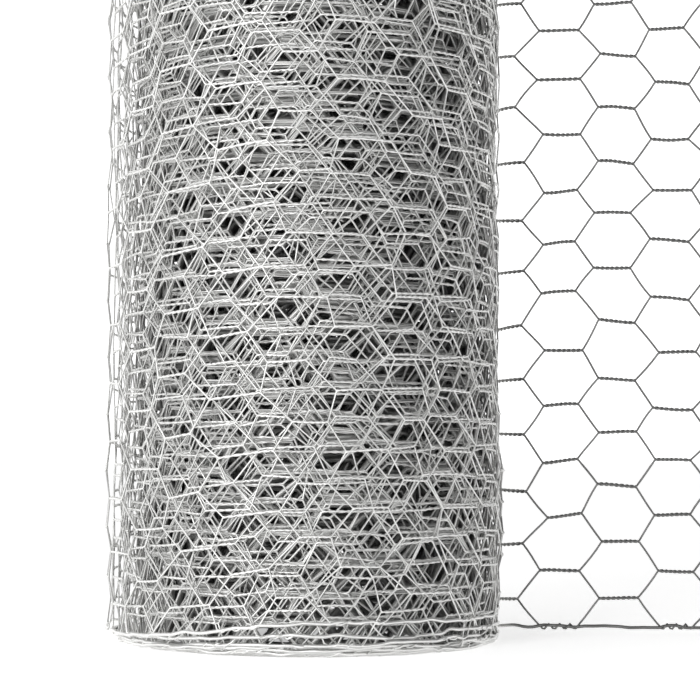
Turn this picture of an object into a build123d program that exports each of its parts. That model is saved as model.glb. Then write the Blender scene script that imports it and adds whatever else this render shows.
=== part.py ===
"""A garden roll of chicken wire standing on its end, with its loose end pulled out flat.

Millimetres, +Z up. The origin is on the axis of the roll, at the floor, and the photo is taken from -Y.
The netting is one length: it comes round the back of the roll, leaves it on the right and runs towards +X.
Its wound turns are one turned solid. Its loose end is open mesh, in two stretches: the bend that lies against
the roll, and the flat length after it.
"""

import os
from math import cos, hypot, pi, radians, sin

from build123d import *

# The netting as it is woven. Twists of two wires lie along its length, in columns that stagger by half a mesh.
NETTING_HEIGHT = 600.0  # the width it is sold in, which is the height of the standing roll
NOMINAL_MESH = 25.0  # from one twist to the next across the netting
WIRE = 0.9  # diameter of the galvanised wire
TWIST_LENGTH = 17.5
COLUMN_PITCH = 26.0  # from one column of twists to the next along the netting

# The roll as it is wound.
ROLL_DIAMETER = 177.0
BORE_DIAMETER = 70.0
TURN_PITCH = 2.1  # from one turn to the next
TURNS_TO_A_GROOVE = 3  # every third turn has slipped in from both ends
GROOVE_DEPTH = 2.0

# The loose end bends out of the winding and then runs straight to where it was cut.
LEAVING_ANGLE = 10.5  # about the roll's axis, from +X towards the back, where the bend starts
LIE = 0.1  # from the winding to the netting where it leaves
BEND_RADIUS = 20.0
BEND_PANELS = 5  # flat steps that the bend is made in
FIRST_COLUMN = 12.0  # from where the netting leaves the roll to the middle of its first column of twists
LOOSE_COLUMNS = 6  # columns of twists from the roll to the cut

# The wound turns, as one turned solid with its bore.
roll_radius = ROLL_DIAMETER / 2
bore_radius = BORE_DIAMETER / 2
wall = roll_radius - bore_radius
middle_of_wall = bore_radius + wall / 2
turns = round(wall / TURN_PITCH)
turn = wall / turns
grooves = turns // TURNS_TO_A_GROOVE
groove = [(-turn / 2, 0), (turn / 2, 0), (0, GROOVE_DEPTH)]

# The loose end in plan: a bend about a point outside the roll, which starts along the outer turn.
netting_thickness = 2 * WIRE
bend_reach = roll_radius + LIE + WIRE + BEND_RADIUS
bend_x = bend_reach * cos(radians(LEAVING_ANGLE))
bend_y = bend_reach * sin(radians(LEAVING_ANGLE))
bend_angle = 90 - LEAVING_ANGLE
bend_length = BEND_RADIUS * radians(bend_angle)
loose_length = FIRST_COLUMN + (LOOSE_COLUMNS - 1) * COLUMN_PITCH + TWIST_LENGTH / 2

# One mesh: a hexagon between the middles of its twists and slanted wires, less half a bar on every side.
rows = round((NETTING_HEIGHT - netting_thickness) / NOMINAL_MESH)
mesh = (NETTING_HEIGHT - netting_thickness) / rows
slant_run = COLUMN_PITCH - TWIST_LENGTH
slant_share = slant_run / (mesh / 2)
slant_bar = WIRE / 2 * hypot(1, slant_share)
opening_half = mesh / 2 - WIRE
opening_tip = COLUMN_PITCH - TWIST_LENGTH / 2 - slant_bar
opening_shoulder = opening_tip - opening_half * slant_share
opening_at_edge = opening_tip - WIRE * slant_share
whole_mesh = [
    (-opening_tip, 0),
    (-opening_shoulder, opening_half),
    (opening_shoulder, opening_half),
    (opening_tip, 0),
    (opening_shoulder, -opening_half),
    (-opening_shoulder, -opening_half),
]
half_mesh = [
    (-opening_at_edge, WIRE),
    (-opening_shoulder, opening_half),
    (opening_shoulder, opening_half),
    (opening_at_edge, WIRE),
]


def heading(along):
    """The angle about the middle of the bend, at a distance along the loose end."""
    return radians(LEAVING_ANGLE + bend_angle * min(max(along / bend_length, 0), 1))


def in_plan(along, radius=BEND_RADIUS):
    """The place in plan at a distance along the loose end. Before and after its bend the netting is straight."""
    turned = heading(along)
    straight = min(along, 0) + max(along - bend_length, 0)
    return Vector(bend_x - radius * cos(turned) + straight * sin(turned),
                  bend_y - radius * sin(turned) - straight * cos(turned))


def side_of_netting(radius):
    """One side of the loose end in plan, round the bend and along the straight to the cut."""
    bend = [in_plan(bend_length * step / BEND_PANELS, radius) for step in range(BEND_PANELS + 1)]
    return bend + [in_plan(loose_length, radius)]


def column_plane(along):
    """The upright plane that touches the netting at a distance along it."""
    turned = heading(along)
    return Plane(origin=in_plan(along) + Vector(0, 0, NETTING_HEIGHT / 2), x_dir=(sin(turned), -cos(turned), 0),
                 z_dir=(-cos(turned), -sin(turned), 0))


def seen_on_plane(along, mesh_outline, turn_over=False):
    """An opening's corners as they are seen square to that plane, where a bend makes the opening narrower."""
    turned = heading(along)
    run = Vector(sin(turned), -cos(turned))
    corners = [((in_plan(along + reach) - in_plan(along)).dot(run), rise) for reach, rise in mesh_outline]
    return [(reach, -rise) for reach, rise in corners] if turn_over else corners


with BuildPart() as loose_netting:
    with BuildSketch() as plan:
        with BuildLine() as outline:
            near = Polyline(*side_of_netting(BEND_RADIUS + WIRE))
            far = Polyline(*side_of_netting(BEND_RADIUS - WIRE))
            Line(near @ 0, far @ 0)
            Line(near @ 1, far @ 1)
        make_face()
    extrude(amount=NETTING_HEIGHT)
    # Columns with a twist on the edge wires have whole meshes only, and the columns between them end in half meshes.
    # The openings of the column that is still on the roll reach into the first stretch.
    for column in range(-1, LOOSE_COLUMNS):
        on_edge = column % 2 == 1
        middle = FIRST_COLUMN + column * COLUMN_PITCH
        with BuildSketch(column_plane(middle)) as openings:
            with GridLocations(mesh, mesh, 1, rows if on_edge else rows - 1):
                Polygon(*seen_on_plane(middle, whole_mesh), align=None)
            if not on_edge:
                with Locations((0, -rows * mesh / 2)):
                    Polygon(*seen_on_plane(middle, half_mesh), align=None)
                with Locations((0, rows * mesh / 2)):
                    Polygon(*seen_on_plane(middle, half_mesh, turn_over=True), align=None)
        extrude(amount=mesh / 2, both=True, mode=Mode.SUBTRACT)

# The two stretches part in the middle of the second column's twists, where the netting is flat.
parting = Plane.YZ.offset(in_plan(FIRST_COLUMN + COLUMN_PITCH).X)

with BuildPart() as leaving_bend:
    add(loose_netting.part)
    split(bisect_by=parting, keep=Keep.BOTTOM)

with BuildPart() as loose_end:
    add(loose_netting.part)
    split(bisect_by=parting, keep=Keep.TOP)

with BuildPart() as netting_roll:
    with BuildSketch(Plane.XZ) as half_section:
        with Locations((middle_of_wall, NETTING_HEIGHT / 2)):
            Rectangle(wall, NETTING_HEIGHT)
        with Locations((middle_of_wall, 0), Location((middle_of_wall, NETTING_HEIGHT), 180)):
            with GridLocations(TURNS_TO_A_GROOVE * turn, 0, grooves, 1):
                Polygon(*groove, align=None, mode=Mode.SUBTRACT)
    revolve(axis=Axis.Z)

os.makedirs("parts", exist_ok=True)
for name, stretch in (("netting_roll", netting_roll), ("leaving_bend", leaving_bend), ("loose_end", loose_end)):
    stretch.part.label = name
    export_step(stretch.part, os.path.join("parts", f"{name}.step"))

wound_length = pi * (roll_radius ** 2 - bore_radius ** 2) / turn
print(f"turns {turns}, one every {turn:.2f} mm; mesh {mesh:.2f} mm, {rows} rows")
print(f"netting {(wound_length + loose_length) / 1000:.2f} m long, of which {loose_length:.0f} mm loose")
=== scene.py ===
# %% [markdown]
# # A roll of chicken wire
# The object is one length of galvanised hexagonal netting, wound into a roll that stands on its end. Its loose
# end comes round the back, leaves the roll on the right and runs out flat. The CAD part gives the roll as a solid
# with its bore, and the loose end as flat bars. Here every wire is made instead, turn by turn.

# %% Load the frame
import math

import bpy
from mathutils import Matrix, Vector


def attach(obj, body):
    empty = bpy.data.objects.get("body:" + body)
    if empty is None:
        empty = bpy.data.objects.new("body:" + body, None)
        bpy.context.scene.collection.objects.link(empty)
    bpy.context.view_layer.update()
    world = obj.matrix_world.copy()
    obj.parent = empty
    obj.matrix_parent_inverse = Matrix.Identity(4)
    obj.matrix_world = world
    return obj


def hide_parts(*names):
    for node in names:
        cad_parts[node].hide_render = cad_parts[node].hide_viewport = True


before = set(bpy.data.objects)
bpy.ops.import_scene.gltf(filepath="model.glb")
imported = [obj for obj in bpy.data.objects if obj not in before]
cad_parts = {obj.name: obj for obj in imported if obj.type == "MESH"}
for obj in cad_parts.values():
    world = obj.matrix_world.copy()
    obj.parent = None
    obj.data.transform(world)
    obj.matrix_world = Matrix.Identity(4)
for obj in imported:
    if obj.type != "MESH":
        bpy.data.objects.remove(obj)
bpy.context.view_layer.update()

# %% [markdown]
# ## Arithmetic on node sockets
# Both the netting and its material are rules made of many small sums. A chain of Math nodes is hard to read, so
# a socket is wrapped in a class that adds the node when Python meets an operator. The same class serves a
# geometry tree and a shader tree.

# %% A socket that can be added, multiplied and fed
class Socket:
    def __init__(self, tree, socket):
        self.tree, self.socket = tree, socket

    def node(self, kind, settings=(), inputs=(), out=0):
        """Adds a node, sets its options first and then its inputs, and returns one of its outputs."""
        new = self.tree.nodes.new(kind)
        for name, value in dict(settings).items():
            setattr(new, name, value)
        for name, value in dict(inputs).items():
            self.feed(new.inputs[name], value)
        return Socket(self.tree, new.outputs[out])

    def feed(self, slot, value):
        if isinstance(value, Socket):
            self.tree.links.new(value.socket, slot)
        else:
            slot.default_value = value

    def maths(self, operation, *values):
        return self.node("ShaderNodeMath", {"operation": operation}, dict(enumerate(values)))

    def __add__(self, other): return self.maths("ADD", self, other)
    def __radd__(self, other): return self.maths("ADD", other, self)
    def __sub__(self, other): return self.maths("SUBTRACT", self, other)
    def __rsub__(self, other): return self.maths("SUBTRACT", other, self)
    def __mul__(self, other): return self.maths("MULTIPLY", self, other)
    def __rmul__(self, other): return self.maths("MULTIPLY", other, self)
    def __truediv__(self, other): return self.maths("DIVIDE", self, other)
    def __rtruediv__(self, other): return self.maths("DIVIDE", other, self)
    def __mod__(self, other): return self.maths("FLOORED_MODULO", self, other)
    def __rpow__(self, other): return self.maths("POWER", other, self)
    def __lt__(self, other): return self.maths("LESS_THAN", self, other)
    def __gt__(self, other): return self.maths("GREATER_THAN", self, other)
    def least(self, other): return self.maths("MINIMUM", self, other)
    def most(self, other): return self.maths("MAXIMUM", self, other)
    def floor(self): return self.maths("FLOOR", self)
    def sqrt(self): return self.maths("SQRT", self)
    def sin(self): return self.maths("SINE", self)
    def cos(self): return self.maths("COSINE", self)
    def to_and_fro(self, length): return self.maths("PINGPONG", self, length)

    def share(self):
        """The value, kept from 0 to 1."""
        return self.most(0.0).least(1.0)

    def vector(self, x, y, z):
        return self.node("ShaderNodeCombineXYZ", inputs={0: x, 1: y, 2: z})

    def parts(self):
        """The three numbers of a vector or a colour."""
        split = self.tree.nodes.new("ShaderNodeSeparateXYZ")
        self.tree.links.new(self.socket, split.inputs[0])
        return [Socket(self.tree, output) for output in split.outputs]

    def noise(self, x, y, z, detail=0.0):
        """Three smooth random numbers at a point, nearly all from -1 to 1."""
        colour = self.node("ShaderNodeTexNoise", out="Color",
                           inputs={"Vector": self.vector(x, y, z), "Scale": 1.0, "Detail": detail})
        return [(number - 0.5) * 3.0 for number in colour.parts()]


# %% [markdown]
# ## The netting as one rule
# Chicken wire is made of wires that all run along its length. Each one is twisted with its neighbour above,
# crosses over on a slant, and is twisted with its neighbour below. They could be drawn as curves, but the roll
# has thousands of meshes. A wire needs no drawing: its number and the distance along the netting say where it is.
# So one tree holds that rule, and its inputs are the sizes of the netting and of the winding.

# %% Start the tree, with its sizes as inputs
ROWS = 24            # meshes from edge to edge
WIRE = 0.0004        # radius in the outer turns
SIZES = {
    "Mesh": 0.02493,                # from one twist to the next across the netting
    "Pitch": 0.026,                 # from one column of twists to the next
    "Twist length": 0.0175,
    "First column middle": 0.012,   # from where the netting leaves the roll
    "Wire radius": WIRE,
    "Edge wire radius": 0.0007,
    "Last wire": 2.0 * ROWS - 1,
    "Outer radius": 0.0893,
    "Turn pitch": 0.0009,
    "Inner turn pitch": 0.0036,
    "Tight turns": 17.0,
    "Leaving angle": math.radians(10.5),
    "Bend radius": 0.02,
    "Unevenness": 0.002,
    "Seed": 4.0,
}
COUNTS = {"First column": 0, "Points": 100, "Steps": 20, "Steps in a twist": 16, "Sides": 4, "Turns in a twist": 3}

tree = bpy.data.node_groups.new("netting", "GeometryNodeTree")
tree.interface.new_socket("Netting", in_out="OUTPUT", socket_type="NodeSocketGeometry")
for name, value in {**SIZES, **COUNTS}.items():
    kind = "NodeSocketInt" if name in COUNTS else "NodeSocketFloat"
    tree.interface.new_socket(name, in_out="INPUT", socket_type=kind).default_value = value
tree.interface.new_socket("Material", in_out="INPUT", socket_type="NodeSocketMaterial")
entry = tree.nodes.new("NodeGroupInput")
given = {output.name: Socket(tree, output) for output in entry.outputs if output.name}
start = given["Mesh"]
print("inputs of the netting:", ", ".join(given))

# %% [markdown]
# ## Points for every wire
# Each wire begins as a straight row of points. One row is made and placed once for every wire, with an edge wire
# more at each end. The points remember their step along the wire, and the rows remember their wire's number,
# because a number that is stored before the rows are made real is still there afterwards.

# %% Lay out the points
SPACING = (0.001, 0, 0)       # any distance will do, since every point is moved later
WIRE_SPACING = (0, 0, 0.01)


def store(geometry, name, value, domain):
    return start.node("GeometryNodeStoreNamedAttribute", {"data_type": "FLOAT", "domain": domain},
                      {"Geometry": geometry, "Name": name, "Value": value})


def stored(name):
    return start.node("GeometryNodeInputNamedAttribute", {"data_type": "FLOAT"}, {"Name": name})


index = start.node("GeometryNodeInputIndex")
row = start.node("GeometryNodeMeshLine", inputs={"Count": given["Points"], "Offset": SPACING})
row = store(row, "step", index, "POINT")
row_starts = start.node("GeometryNodeMeshLine", inputs={"Count": given["Last wire"] + 3.0, "Offset": WIRE_SPACING})
lines = start.node("GeometryNodeInstanceOnPoints", inputs={"Points": row_starts, "Instance": row})
lines = store(lines, "wire", index - 1.0, "INSTANCE")
lines = start.node("GeometryNodeRealizeInstances", inputs={0: lines})
lines = start.node("GeometryNodeMeshToCurve", inputs={"Mesh": lines})
step, wire = stored("step"), stored("wire")
print("wires:", int(SIZES["Last wire"]) + 3)

# %% [markdown]
# ## Twists and slants
# Along one column a wire is first in a twist, turning round its neighbour, and then on a slant to the next
# neighbour. Columns stagger, so whether the neighbour is above or below depends on whether the column and the
# wire are odd. At the edges there is no neighbour, and the wire is wound round the edge wire.

# %% How far along a point is
steps, in_twist = given["Steps"], given["Steps in a twist"]
pitch, twist = given["Pitch"], given["Twist length"]
passed = (step / steps).floor()
here = step - passed * steps
twisted = (here / in_twist).least(1.0)
slanted = (here - in_twist).most(0.0) / (steps - in_twist)
column = passed + given["First column"]
along = given["First column middle"] + column * pitch + (twisted - 0.5) * twist + slanted * (pitch - twist)

# %% Which neighbour the wire is with: 0 for the one below and 1 for the one above
odd_column, odd_wire = (column + 1.0) % 2.0, wire % 2.0
swap = odd_column + slanted * (1.0 - 2.0 * odd_column)
above = odd_wire + swap * (1.0 - 2.0 * odd_wire)
low_edge, high_edge = wire < -0.5, wire > given["Last wire"] + 0.5
on_edge = low_edge + high_edge
above = above * (1.0 - on_edge) + low_edge

# %% Turn the wires round each other
FULL_TURN = 2 * math.pi
SETTLING = 0.15      # length of netting over which the loose end passes into the roll
OVERLAP = 0.35       # wires in the roll are pressed together in their twists, so that the slants show more

first, last = (wire < 0.5) - low_edge, (wire > given["Last wire"] - 0.5) - high_edge
round_edge = first * (1.0 - above) + last * above
radius = (given["Wire radius"] + given["Edge wire radius"] * round_edge) * (1.0 - on_edge)
inside = ((0.0 - along) / SETTLING).share()
side = (1.0 - 2.0 * above) * radius * (1.0 - OVERLAP * inside)
angle = twisted * given["Turns in a twist"] * FULL_TURN
height = (wire + above) * given["Mesh"] / 2.0 + side * angle.cos()
out = side * angle.sin()
print("nodes for the weave:", len(tree.nodes))

# %% [markdown]
# ## Pulled about
# Netting is never even. Meshes are pulled out of shape, more so in the roll, the sheet is wavy, and the edge wires
# are a little ragged. Random numbers for each point would break the wires up, so smooth noise is read at the place
# on the flat netting. The numbers that multiply a place set how many waves there are to a metre.

# %% Make the netting uneven
EDGE_HOLD = 0.04     # up to this far from an edge, its wire holds the meshes straight
SHEAR = 0.003
MORE_IN_ROLL = 1.5
CREEP = 0.006        # turns creep along each other
RAGGED = 0.001

uneven, seed = given["Unevenness"], given["Seed"]
to_edge = height.least((given["Last wire"] + 1.0) * given["Mesh"] / 2.0 - height).most(0.0)
from_edge = (to_edge / EDGE_HOLD).least(1.0)
pulled = start.noise(along * 30.0, height * 30.0, seed)
wavy = start.noise(along * 12.0, height * 10.0, seed + 7.0)
sheared = start.noise(along * 16.0, height * 14.0, seed + 11.0)
edge_wave = start.noise(along * 16.0, seed + 3.0, 0.0, 1.0)
crept = start.noise(along * 3.0, seed + 17.0, 0.0)
pull = (pulled[0] * uneven + sheared[0] * SHEAR) * (1.0 + MORE_IN_ROLL * inside)
along = along + pull + crept[0] * CREEP * inside
ragged = start.noise(along * 110.0, wire, seed + 23.0)
out = out + wavy[0] * uneven + on_edge * ragged[0] * RAGGED
print("nodes with the unevenness:", len(tree.nodes))

# %% [markdown]
# ## The winding
# A roll is a spiral, and a place on it is known by the length of netting outside it. A spiral that falls inwards
# evenly has a simple formula for the angle that a length takes up, so no curve has to be measured. Two are joined:
# the outer turns lie tight, and the turns inside are slacker. The outer turn has also sprung open on the left, the
# turns lie off centre, and the foot is squeezed out on the right.

# %% Wind the netting up
GROWTH = 2.718
SPRUNG, SPRUNG_FROM = 0.0009, 0.45                                  # metres, and turns from the outside
BULGE, BULGE_HEIGHT, BULGE_SPREAD = 0.0015, 0.055, 0.045
OFF_CENTRE, OFF_CENTRE_TURNS = 0.0007, 8.0


def spiral(radius, fall, length):
    """The angle that a length takes up on a spiral that falls inwards as it turns."""
    return (radius - (radius * radius - 2.0 * fall * length).most(0.0).sqrt()) / fall


outer = given["Outer radius"]
tight, slack = given["Turn pitch"] / FULL_TURN, given["Inner turn pitch"] / FULL_TURN
tight_sweep = given["Tight turns"] * FULL_TURN
tight_length = tight_sweep * (outer - tight * tight_sweep / 2.0)
inward = (0.0 - along).most(0.0)
swept_tight = spiral(outer, tight, inward.least(tight_length))
swept_slack = spiral(outer - tight * tight_sweep, slack, (inward - tight_length).most(0.0))
swept = swept_tight + swept_slack
turns = swept / FULL_TURN
theta = given["Leaving angle"] + swept
drawn_in = SPRUNG * (turns - SPRUNG_FROM).share() * (1.0 - theta.cos())
low = (height - BULGE_HEIGHT) / BULGE_SPREAD
squeezed = BULGE * GROWTH ** (0.0 - low * low) * theta.cos().most(0.0) * inside
reach = outer - tight * swept_tight - slack * swept_slack + out - drawn_in + squeezed
reach = reach + OFF_CENTRE * turns.least(OFF_CENTRE_TURNS) * theta.cos()
print("nodes with the winding:", len(tree.nodes))

# %% [markdown]
# ## Turns that have slipped
# Turns slip past each other along the roll. The outer ones have ridden up, each less than the one outside it and
# most of all at the front and on the right, so that their edges show one below the other at the foot. Between its
# edges the netting also slides up for a few turns and down for the next, so that the rows of twists are spread
# out and don't line up into stripes.

# %% Slip the turns
RIDE, RIDE_FROM, RIDE_WITHIN = 0.0115, 0.5, 0.2       # metres, then turns from the outside
RIDE_FADES_FROM, RIDE_FADE, RIDE_TURN = 0.97, 2.6, 1.05
HANG, HANG_FADES_FROM, HANG_FADE = 0.0048, 0.55, 0.5
EDGE_WAVE, EDGE_WAVE_RISE, LEAST_LIFT = 0.0022, 0.2, 0.0012
SLIDE, SLIDE_TURNS, SLIDE_MIDDLE = 0.0048, 2.3, 0.0055
SHIFT, SHIFT_HOLD = 0.006, 0.06
UPRIGHT_SHEAR, LESS_IN_ROLL = 0.002, 0.5

risen = ((turns - RIDE_FROM) / RIDE_WITHIN).share()
ride_left = GROWTH ** ((RIDE_FADES_FROM - turns).least(0.0) / RIDE_FADE)
ridden = RIDE * risen * ride_left * (0.5 + 0.5 * (theta + RIDE_TURN).cos())
hung = HANG * GROWTH ** ((HANG_FADES_FROM - turns).least(0.0) / HANG_FADE)
lift = (hung + ridden + (edge_wave[1] + EDGE_WAVE_RISE) * EDGE_WAVE * inside).most(LEAST_LIFT)
shifted = start.noise(turns * 1.1, height * 4.0, seed + 13.0)
upright_pull = (pulled[2] * uneven + sheared[2] * UPRIGHT_SHEAR) * from_edge * (1.0 - LESS_IN_ROLL * inside)
slid = turns.to_and_fro(SLIDE_TURNS) * SLIDE - SLIDE_MIDDLE
height = height + lift + upright_pull
height = height + (shifted[1] * SHIFT + slid) * inside * (to_edge / SHIFT_HOLD).least(1.0)
height = height + on_edge * ragged[1].most(-0.5) * RAGGED
print("nodes with the slipped turns:", len(tree.nodes))

# %% [markdown]
# ## The loose end
# The netting leaves the roll in a bend that starts along the outer turn, and then runs straight. A length along
# it becomes an angle round the middle of the bend, and what is left over becomes the straight. One switch, whether
# the point is still on the roll, chooses between the spiral and the bend.

# %% Lead the loose end off the roll
leaving, bend = given["Leaving angle"], given["Bend radius"]
bend_angle = math.pi / 2 - leaving
centre_x, centre_y = (outer + bend) * leaving.cos(), (outer + bend) * leaving.sin()
turned = (along.most(0.0) / bend).least(bend_angle)
phi = leaving + turned
straight = (along - bend * bend_angle).most(0.0)
wound_up = along < 0.0
x = wound_up * reach * theta.cos() + (1.0 - wound_up) * (centre_x - (bend - out) * phi.cos() + straight)
y = wound_up * reach * theta.sin() + (1.0 - wound_up) * (centre_y - (bend - out) * phi.sin())
lines = start.node("GeometryNodeSetPosition", inputs={"Geometry": lines, "Position": start.vector(x, y, height)})
print("nodes with the loose end:", len(tree.nodes))

# %% [markdown]
# ## From lines to wires
# A line becomes a wire when a small section is drawn along it. A section of few sides saves triangles, and it is
# made a little larger, so that it looks as wide as a round one. The export drops instances, so the tree ends by
# making everything real and setting the material.

# %% Give the lines their thickness
corner = math.pi / given["Sides"]
section = start.node("GeometryNodeCurvePrimitiveCircle",
                     inputs={"Resolution": given["Sides"], "Radius": given["Wire radius"] * corner / corner.sin()})
thick = 1.0 + on_edge * (given["Edge wire radius"] / given["Wire radius"] - 1.0)
tubes = start.node("GeometryNodeCurveToMesh",
                   inputs={"Curve": lines, "Profile Curve": section, "Scale": thick, "Fill Caps": True})
tubes = start.node("GeometryNodeSetShadeSmooth", inputs={"Geometry": tubes, "Shade Smooth": True})
tubes = start.node("GeometryNodeRealizeInstances", inputs={0: tubes})
tubes = start.node("GeometryNodeSetMaterial", inputs={"Geometry": tubes, "Material": given["Material"]})
tree.links.new(tubes.socket, tree.nodes.new("NodeGroupOutput").inputs[0])
print("netting tree:", len(tree.nodes), "nodes")

# %% [markdown]
# ## Galvanised wire
# New zinc is a pale, slightly rough metal with cloudy patches. Down in the winding little light reaches the wires,
# and the loose end is seen against a bright background, where thin wires look dark. Both are painted shade in the
# colour, set by place: it falls off with the depth below the outer turn, sooner on the right, where the roll is in
# shade, and again where the netting leaves the roll. The outer turn, which catches more light than the turns just
# inside, is painted a little darker, and lighter on the right, as a painted highlight. The painted shade fades out
# at the top, since its ends are in the open.

# %% The material
ZINC, PALEST, BLUE_SHARE = 0.92, 0.97, 0.985
ROUGHNESS, METAL = 0.42, 0.85
CLOUDS, CLOUD_TONE, CLOUD_ROUGHNESS = 60.0, 0.06, 0.08       # clouds to a metre, and what they change
# Places are distances from the roll's axis in metres. A shade starts at one, and is full after the next length.
# The outer turn: painted a little darker, and painted lighter towards the right.
OUTER_TURN, OUTER_OVER, OUTER_PAINTED_SHADE, OUTER_PAINTED_LIGHT_RIGHT = 0.086, 0.002, 0.02, 1.2
# Painted shade with depth in the winding, coming sooner and softer on the right, where the roll is in shade.
SUNK_FROM, SUNK_OVER, SUNK_SHADE = 0.0875, 0.014, 0.09
DEEP_FROM, DEEP_OVER, DEEP_SHADE = 0.0715, 0.008, 0.62
DEEP_LEAN, DEEP_SOONER_RIGHT, DEEP_SOFTER_RIGHT, RIGHT_LIMIT = 0.056, 0.30, 0.12, 0.045
# Painted shade on the loose end, past the roll.
FREE_FROM, FREE_OVER, FREE_SHADE = 0.088, 0.012, 0.82        # along x, past the roll
TOP, TOP_OPEN = 0.6, 0.06


def zinc():
    material = bpy.data.materials.new("galvanised_wire")
    material.use_nodes = True
    nodes = material.node_tree
    shader = nodes.nodes["Principled BSDF"]
    place = Socket(nodes, nodes.nodes.new("ShaderNodeTexCoord").outputs["Object"])
    x, y, z = place.parts()
    cloud = place.noise(x * CLOUDS, y * CLOUDS, z * CLOUDS, 2.0)
    reach = (x * x + y * y).sqrt()
    right = x.most(0.0)
    shaded = right.least(RIGHT_LIMIT)
    below_top = ((TOP - z) / TOP_OPEN).share()
    outermost = ((reach - OUTER_TURN) / OUTER_OVER).share()
    # Painted shade: darker with depth below the outer turn, and further in, sooner on the right, where the roll is
    # in shade.
    sunk_painted_shade = ((SUNK_FROM - reach) / SUNK_OVER).share() * below_top
    deep_from = DEEP_FROM + DEEP_LEAN * x + DEEP_SOONER_RIGHT * shaded
    deep_painted_shade = ((deep_from - reach) / (DEEP_OVER + DEEP_SOFTER_RIGHT * shaded)).share() * below_top
    # Painted shade on the loose end.
    loose_end_painted_shade = ((x - FREE_FROM) / FREE_OVER).share()
    # Painted shade on the outer turn, and a painted highlight on its right.
    level = (ZINC - (OUTER_PAINTED_SHADE - OUTER_PAINTED_LIGHT_RIGHT * right) * outermost + cloud[0] * CLOUD_TONE).least(PALEST)
    level = level * (1.0 - SUNK_SHADE * sunk_painted_shade) * (1.0 - DEEP_SHADE * deep_painted_shade) * (1.0 - FREE_SHADE * loose_end_painted_shade)
    colour = place.node("ShaderNodeCombineColor", inputs={0: level, 1: level, 2: level * BLUE_SHARE})
    place.feed(shader.inputs["Base Color"], colour)
    place.feed(shader.inputs["Roughness"], ROUGHNESS + cloud[1] * CLOUD_ROUGHNESS)
    shader.inputs["Metallic"].default_value = METAL
    return material


wire_material = zinc()
print("zinc:", len(wire_material.node_tree.nodes), "nodes")

# %% [markdown]
# ## The turns
# The whole length has nearly five hundred columns of twists, so detail goes where it shows: most of it to the
# loose end and the outer turn, and least to the turns in the middle, where the wires are drawn thicker, so that
# fewer turns close the view through the roll. All stretches use the one tree, and each begins where the last one
# ends. The tree's result is made a plain mesh, because the export takes meshes as they are.

# %% Make the stretches
STRETCHES = (
    # name, first column, columns, steps to a column, steps in a twist, sides, turns in a twist, wire radius
    ("loose_netting", 0, 5, 24, 20, 5, 4, 0.00045),
    ("outer_turn", -21, 21, 16, 15, 4, 3, WIRE),
    ("turns_2_and_3", -61, 40, 14, 13, 3, 3, WIRE),
    ("turns_4_and_5", -101, 40, 14, 13, 3, 3, WIRE),
    ("turn_6", -124, 23, 14, 13, 3, 3, WIRE),
    ("turns_7_to_12", -236, 112, 5, 4, 3, 2, 0.00045),
    ("turns_13_to_18", -330, 94, 2, 1, 3, 1, 0.0005),
    ("inner_turns", -473, 143, 2, 1, 3, 1, 0.0014),
)


def stretch(name, first_column, columns, steps, in_twist, sides, turns_in_twist, wire_radius):
    loose = first_column == 0
    mesh = bpy.data.meshes.new(name)
    piece = bpy.data.objects.new(name, mesh)
    bpy.context.scene.collection.objects.link(piece)
    modifier = piece.modifiers.new("netting", "NODES")
    modifier.node_group = tree
    # The loose end is cut off at the end of a twist, and every other stretch ends where the next twist starts.
    points = columns * steps + 1 + (in_twist if loose else 0)
    values = {"First column": first_column, "Points": points, "Steps": steps, "Steps in a twist": in_twist,
              "Sides": sides, "Turns in a twist": turns_in_twist, "Wire radius": wire_radius,
              "Material": wire_material}
    for item in tree.interface.items_tree:
        if item.in_out == "INPUT" and item.name in values:
            modifier[item.identifier] = values[item.name]
    made = bpy.data.meshes.new_from_object(piece.evaluated_get(bpy.context.evaluated_depsgraph_get()))
    piece.modifiers.remove(modifier)
    piece.data = made
    made.name = name
    bpy.data.meshes.remove(mesh)
    triangles = sum(len(face.vertices) - 2 for face in made.polygons)
    print(f"{name}: columns {first_column} to {first_column + columns}, {triangles} triangles")
    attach(piece, "root")
    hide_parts(*(("leaving_bend", "loose_end") if loose else ("netting_roll",)))
    return piece


pieces = [stretch(*row) for row in STRETCHES]

# %% [markdown]
# ## White paper to stand on
# The background of the photo is plain white, and the roll has only a faint shadow. More light would make the floor
# white, but also bleach the wire. So the paper glows by half, only for rays that come from the camera or that are
# reflected or let through. It gives no light to the wires, and it still shows the shadow.

# %% The floor
FLOOR_REACH = 6.0
GLOW = 0.5


def paper():
    material = bpy.data.materials.new("white_paper")
    material.use_nodes = True
    nodes = material.node_tree
    shader = nodes.nodes["Principled BSDF"]
    shader.inputs["Base Color"].default_value = (1, 1, 1, 1)
    shader.inputs["Roughness"].default_value = 1.0
    shader.inputs["Specular IOR Level"].default_value = 0.0
    rays = {output.name: Socket(nodes, output) for output in nodes.nodes.new("ShaderNodeLightPath").outputs}
    seen = (rays["Is Camera Ray"] + rays["Is Glossy Ray"] + rays["Is Transmission Ray"]).least(1.0)
    glow = seen.node("ShaderNodeCombineColor", inputs={0: seen, 1: seen, 2: seen})
    seen.feed(shader.inputs["Emission Color"], glow)
    shader.inputs["Emission Strength"].default_value = GLOW
    return material


floor_corners = [(-FLOOR_REACH, -FLOOR_REACH, 0), (FLOOR_REACH, -FLOOR_REACH, 0),
                 (FLOOR_REACH, FLOOR_REACH, 0), (-FLOOR_REACH, FLOOR_REACH, 0)]
floor_mesh = bpy.data.meshes.new("floor")
floor_mesh.from_pydata(floor_corners, [], [(0, 1, 2, 3)])
floor_mesh.materials.append(paper())
floor = bpy.data.objects.new("floor", floor_mesh)
bpy.context.scene.collection.objects.link(floor)
print("floor:", 2 * FLOOR_REACH, "m square")

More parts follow.
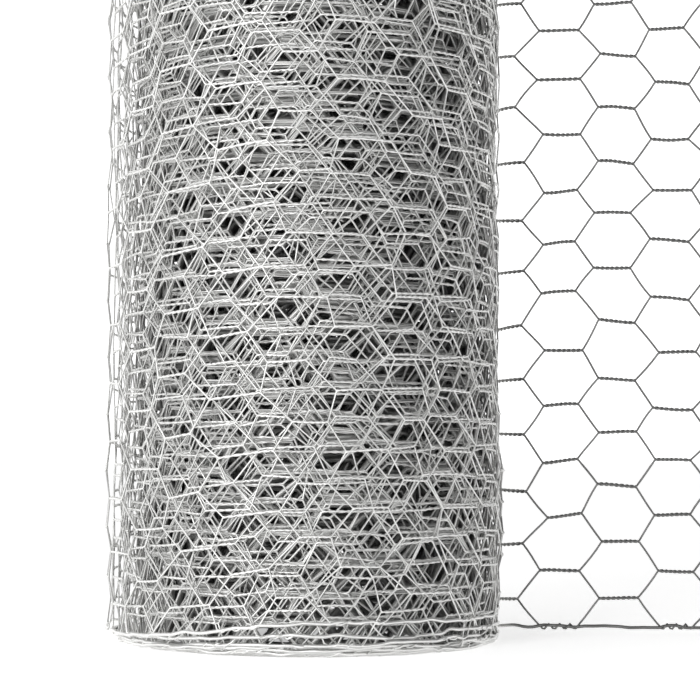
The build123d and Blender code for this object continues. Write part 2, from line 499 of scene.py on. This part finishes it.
# %% [markdown]
# ## Light from the left
# In the photo the light comes from all round, more from the left than from the right and little from above. A ring
# of lamps could do that, but metal would show each lamp as a spot. So the white world itself is brighter round the
# horizon and on the left, and one soft lamp at the front left gives the wires their bright edges.

# %% World and lamp
ROUND_LIGHT, FROM_LEFT, LESS_FROM_RIGHT, LESS_FROM_ABOVE = 1.4, 0.2, 0.5, 1.0
LAMP_PLACE, LAMP_TARGET, LAMP_SIZE, LAMP_POWER = (-0.8, -1.3, 0.6), (0, 0, 0.2), 0.7, 7.5

world = bpy.data.worlds.new("studio")
bpy.context.scene.world = world
world.use_nodes = True
background = world.node_tree.nodes["Background"]
background.inputs["Color"].default_value = (1, 1, 1, 1)
way = Socket(world.node_tree, world.node_tree.nodes.new("ShaderNodeTexCoord").outputs["Generated"])
across, back, up = way.parts()
overhead = ((up - 0.2) / 0.4).share()
lit_side = ((-0.2 - across) / 0.5).share()
dark_side = ((across - 0.25) / 0.45).share()
strength = ROUND_LIGHT + FROM_LEFT * lit_side - LESS_FROM_RIGHT * dark_side - LESS_FROM_ABOVE * overhead
way.feed(background.inputs["Strength"], strength)

lamp = bpy.data.lights.new("key", "AREA")
lamp.size, lamp.energy = LAMP_SIZE, LAMP_POWER
key = bpy.data.objects.new("key", lamp)
key.location = LAMP_PLACE
key.rotation_euler = (Vector(LAMP_TARGET) - Vector(LAMP_PLACE)).to_track_quat("-Z", "Y").to_euler()
bpy.context.scene.collection.objects.link(key)
print("lamp:", LAMP_POWER, "W,", round((Vector(LAMP_TARGET) - Vector(LAMP_PLACE)).length, 2), "m away")

# %% [markdown]
# ## The photo's view
# The photo was taken from close by, a little above the floor and looking slightly up, with the top of the roll and
# the end of the netting outside the frame. The lens was found by setting the width of the roll, the foot of the
# netting and the curve of the rim against the photo.

# %% The camera
LENS, SENSOR, NEAREST = 96.8, 36.0, 0.01
CAMERA_PLACE, LOOKING_UP = (0.022, -0.860, 0.090), 2.7

lens = bpy.data.cameras.new("photo")
lens.lens, lens.sensor_width, lens.clip_start = LENS, SENSOR, NEAREST
camera = bpy.data.objects.new("photo", lens)
camera.location = CAMERA_PLACE
camera.rotation_euler = (math.radians(90 + LOOKING_UP), 0, 0)
bpy.context.scene.collection.objects.link(camera)
bpy.context.scene.camera = camera
bpy.context.scene.view_settings.view_transform = "Standard"
print("camera:", LENS, "mm, looking", LOOKING_UP, "degrees up")
